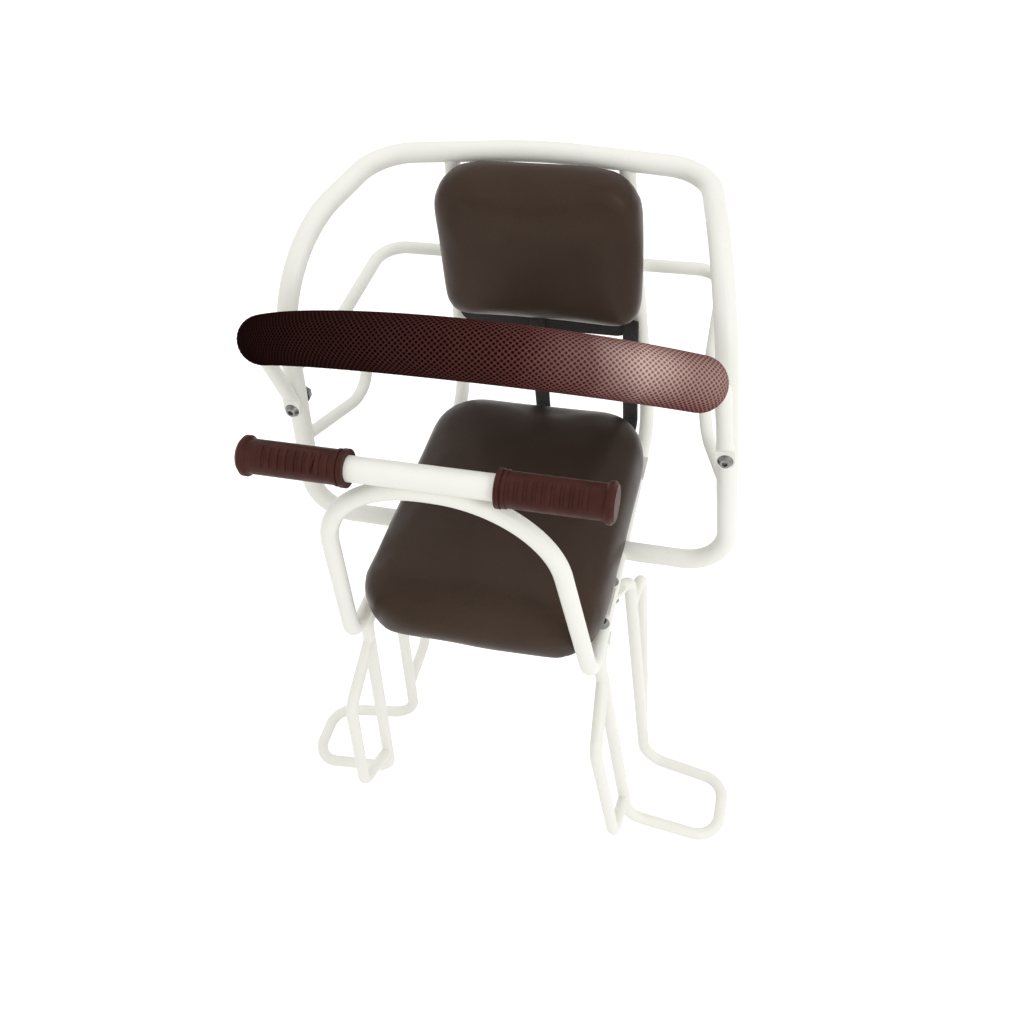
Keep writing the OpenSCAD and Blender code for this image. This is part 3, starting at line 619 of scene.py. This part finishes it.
def strap_path(lo, hi):
    """Middle line of a strap in Y and Z: down, round a soft fold, and forward."""
    y_back, z_low = hi[1] - STRAP_T / 2 - 0.2 * MM, lo[2] + STRAP_T / 2 + 0.1 * MM
    held = hi[2] - STRAP_HELD
    free = held - z_low - STRAP_BEND
    path = [(y_back, hi[2] - 1 * MM), (y_back, held)]
    path += [(y_back - STRAP_BOW * math.sin(math.pi * k / 10), held - free * k / 10)
             for k in range(1, 10)]
    y_bend = y_back - STRAP_BEND
    for k in range(9):
        a = math.radians(90 * k / 8)
        path.append((y_bend + STRAP_BEND * math.cos(a), z_low + STRAP_BEND - STRAP_BEND * math.sin(a)))
    return path + [(y_bend - (y_bend - lo[1] - 1 * MM) * k / 4, z_low) for k in range(1, 5)]


def strap(name, node, material):
    """Flat webbing down behind the seat and forward under the board, with soft edges."""
    lo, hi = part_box(node)
    w, x = hi[0] - lo[0], (lo[0] + hi[0]) / 2
    path = strap_path(lo, hi)
    # Half the section, flat with soft edges, then mirrored into a closed ring
    profile = []
    for k in range(STRAP_POINTS):
        f = -1 + 2 * k / (STRAP_POINTS - 1)
        profile.append((f * w / 2, STRAP_T / 2 * math.sqrt(max(0.0, 1 - abs(f) ** 8)) + 0.05 * MM))
    ring = profile + [(a, -b) for a, b in reversed(profile)]
    verts, uvs = [], []
    run = 0.0
    for i, (y, z) in enumerate(path):
        y0, z0 = path[max(i - 1, 0)]
        y1, z1 = path[min(i + 1, len(path) - 1)]
        d = math.hypot(y1 - y0, z1 - z0)
        ny, nz = (z1 - z0) / d, -(y1 - y0) / d
        if i:
            run += math.hypot(y - path[i - 1][0], z - path[i - 1][1])
        for a, b in ring:
            verts.append((x + a, y + ny * b, z + nz * b))
            uvs.append((a / MM, run / MM))
    n = len(ring)
    faces = bridge(len(path) - 1, n)
    faces.append(tuple(reversed(range(n))))
    faces.append(tuple(range(len(verts) - n, len(verts))))
    obj = new_object(name, verts, faces, material)
    set_uvs(obj, [uvs[v] for poly in obj.data.polygons for v in poly.vertices])
    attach(obj, "root")
    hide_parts(node)


def make_camera():
    """Camera at the photograph's place."""
    back = CAMERA_BACK.normalized()
    right = (CAMERA_RIGHT - back * CAMERA_RIGHT.dot(back)).normalized()
    up = back.cross(right)
    data = bpy.data.cameras.new("camera")
    data.lens = CAMERA_LENS
    data.sensor_width = 36
    cam = bpy.data.objects.new("camera", data)
    rot = Matrix((right, up, back)).transposed().to_4x4()
    cam.matrix_world = Matrix.Translation(CAMERA_PLACE) @ rot
    bpy.context.scene.collection.objects.link(cam)
    bpy.context.scene.camera = cam


def area_light(name, place, aim, size, power):
    """Rectangular lamp aimed at a point."""
    data = bpy.data.lights.new(name, "AREA")
    data.shape = "RECTANGLE"
    data.size, data.size_y = size
    data.energy = power
    obj = bpy.data.objects.new(name, data)
    obj.location = place
    obj.rotation_euler = (Vector(aim) - Vector(place)).to_track_quat("-Z", "Y").to_euler()
    bpy.context.scene.collection.objects.link(obj)


def add_math(tree, operation, a, b):
    """Adds a math node over a socket and a socket or number, and returns its output."""
    n = tree.nodes.new("ShaderNodeMath")
    n.operation = operation
    tree.links.new(a, n.inputs[0])
    if isinstance(b, float):
        n.inputs[1].default_value = b
    else:
        tree.links.new(b, n.inputs[1])
    return n.outputs[0]


def seen_directly(tree):
    """1 for the camera's rays and for those mirrored or sent through, 0 for the rest."""
    path = tree.nodes.new("ShaderNodeLightPath").outputs
    mirrored = add_math(tree, "MAXIMUM", path["Is Camera Ray"], path["Is Glossy Ray"])
    return add_math(tree, "MAXIMUM", mirrored, path["Is Transmission Ray"])


def make_world():
    """White where it is seen or mirrored, and a little less bright as a light."""
    world = bpy.data.worlds.new("world")
    bpy.context.scene.world = world
    world.use_nodes = True
    tree = world.node_tree
    background = tree.nodes["Background"]
    background.inputs["Color"].default_value = (1, 1, 1, 1)
    level = tree.nodes.new("ShaderNodeMapRange")
    level.inputs["To Min"].default_value = SKY_LIGHT
    level.inputs["To Max"].default_value = 1.0
    tree.links.new(seen_directly(tree), level.inputs["Value"])
    tree.links.new(level.outputs[0], background.inputs["Strength"])


def floor_material():
    """Pale and matt, with a glow for the eye only, so that the shadow stays in it."""
    mat = bpy.data.materials.new("floor")
    mat.use_nodes = True
    tree = mat.node_tree
    tree.nodes.clear()
    diffuse = tree.nodes.new("ShaderNodeBsdfDiffuse")
    diffuse.inputs["Color"].default_value = FLOOR_COLOR
    glow = tree.nodes.new("ShaderNodeEmission")
    tree.links.new(add_math(tree, "MULTIPLY", seen_directly(tree), FLOOR_GLOW), glow.inputs["Strength"])
    both = tree.nodes.new("ShaderNodeAddShader")
    tree.links.new(diffuse.outputs[0], both.inputs[0])
    tree.links.new(glow.outputs[0], both.inputs[1])
    out = tree.nodes.new("ShaderNodeOutputMaterial")
    tree.links.new(both.outputs[0], out.inputs["Surface"])
    return mat


def make_stage():
    """World, floor and two plain lamps, one from the right of the object and one above it."""
    bpy.context.scene.view_settings.view_transform = "Standard"
    make_world()
    h = FLOOR_HALF
    floor = new_object("floor", [(-h, -h, 0), (h, -h, 0), (h, h, 0), (-h, h, 0)], [(0, 1, 2, 3)],
                       floor_material(), smooth=False)
    floor.location.z = cad_box[0][2] - 0.5 * MM
    area_light("key", (1.15, -0.85, 0.85), (0.08, 0, 0.1), (0.45, 0.45), 4.8)
    area_light("top", (-0.2, 0.6, 1.9), (0, 0, 0.1), (1.4, 1.0), 2)


paint = paint_material()
leather = leather_material()
rubber = rubber_material()
zinc = zinc_material()
PAINTED = ["rail_upright_left", "rail_upright_right", "front_cross_strip", "rear_cross_strip",
           "fence_hoop", "upper_guard_rod", "guard_strut_left", "guard_strut_right", "front_arch",
           "handlebar_tube", "bar_inner_tube", "leg_rod_left", "leg_rod_right", "front_loop_left",
           "front_loop_right", "rear_loop_left", "rear_loop_right"]
ZINC = ["bar_bolts", "bar_washers", "bar_nuts", "leg_bolts", "leg_washers", "leg_nuts", "seat_screws",
        "back_screws"]
for name in PAINTED:
    dress(name, paint)
for name in ZINC:
    dress(name, zinc)
for name in ("grip_left", "grip_right"):
    dress(name, rubber)
dress("seat_board", wood_material("plywood", (0.22, 0.14, 0.08), (0.42, 0.30, 0.18)))
dress("back_board", wood_material("dark_board", (0.008, 0.005, 0.005), (0.018, 0.012, 0.011)))
dress("bar_foam", foam_material())

seat_and_back(leather)
sleeve(knit_material())
webbing = webbing_material("black_webbing", (0.006, 0.005, 0.005), (0.020, 0.016, 0.015))
strap("webbing_middle", "strap_middle", webbing)
strap("webbing_right", "strap_right", webbing)

make_camera()
make_stage()
